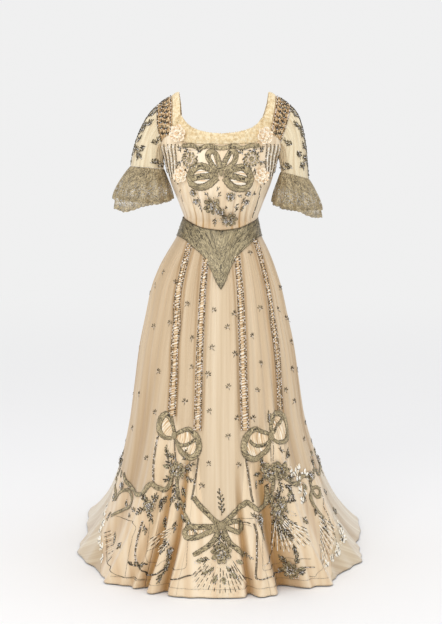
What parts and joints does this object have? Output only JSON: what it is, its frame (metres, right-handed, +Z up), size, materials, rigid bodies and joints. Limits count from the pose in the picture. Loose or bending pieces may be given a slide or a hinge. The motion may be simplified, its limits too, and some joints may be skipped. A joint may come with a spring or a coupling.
{
  "type": "evening dress",
  "caption": "Floor-length evening dress with pouched bodice, elbow sleeves with lace flounces, pointed lace belt and a train, in its hollow worn form.",
  "frame": {"origin": "midway between the two shoulder straps, under their tops, where a wearer holds the dress up", "axes": "+Z up along the body, -Y the way the dress faces, +X its own left side; the hem is 1.36 m below the origin"},
  "size_m": [0.9088, 1.52, 1.3857],
  "materials": {
    "silk": "soft satin under chiffon",
    "train": "silk satin",
    "net": "sheer silk net",
    "lace": "metallic lace",
    "tape": "metallic lace tape",
    "ribbon": "shirred ribbon with beads",
    "strap": "sequins on net",
    "frill": "pleated chiffon",
    "flower": "silk flowers"
  },
  "bodies": {
    "root": {"skirt_front": "silk", "skirt_side_front_right": "silk", "skirt_side_front_left": "silk", "skirt_side_right": "silk", "skirt_side_left": "silk", "skirt_back_right": "train", "skirt_back_left": "train", "insertion_band_outer_right": "ribbon", "insertion_band_inner_right": "ribbon", "insertion_band_inner_left": "ribbon", "insertion_band_outer_left": "ribbon", "belt_front": "lace", "belt_back": "lace", "bodice_front": "silk", "bodice_side_right": "silk", "bodice_side_left": "silk", "bodice_back_right": "silk", "bodice_back_left": "silk", "shoulder_strap_right": "strap", "shoulder_strap_left": "strap", "sleeve_right": "net", "sleeve_left": "net", "flounce_right": "lace", "flounce_left": "lace", "neck_frill_front": "frill", "neck_frill_back": "frill", "rosette_upper_right": "flower", "rosette_upper_left": "flower", "rosette_lower_right": "flower", "rosette_lower_left": "flower", "bodice_bow_upper_right": "tape", "bodice_bow_upper_left": "tape", "bodice_bow_lower_right": "tape", "bodice_bow_lower_left": "tape", "skirt_bow_right_upper": "tape", "skirt_bow_right_lower": "tape", "skirt_bow_left_lower": "tape", "skirt_bow_left_upper": "tape", "hem_bow_right": "tape", "hem_bow_left": "tape", "hem_tail_right": "tape", "hem_tail_left": "tape", "garland_right": "tape", "garland_middle_right": "tape", "garland_middle_left": "tape", "garland_left": "tape", "bodice_bow_knot": "tape", "skirt_bow_right_knot": "tape", "skirt_bow_left_knot": "tape", "hem_bow_knot": "tape"}
  },
  "joints": []
}
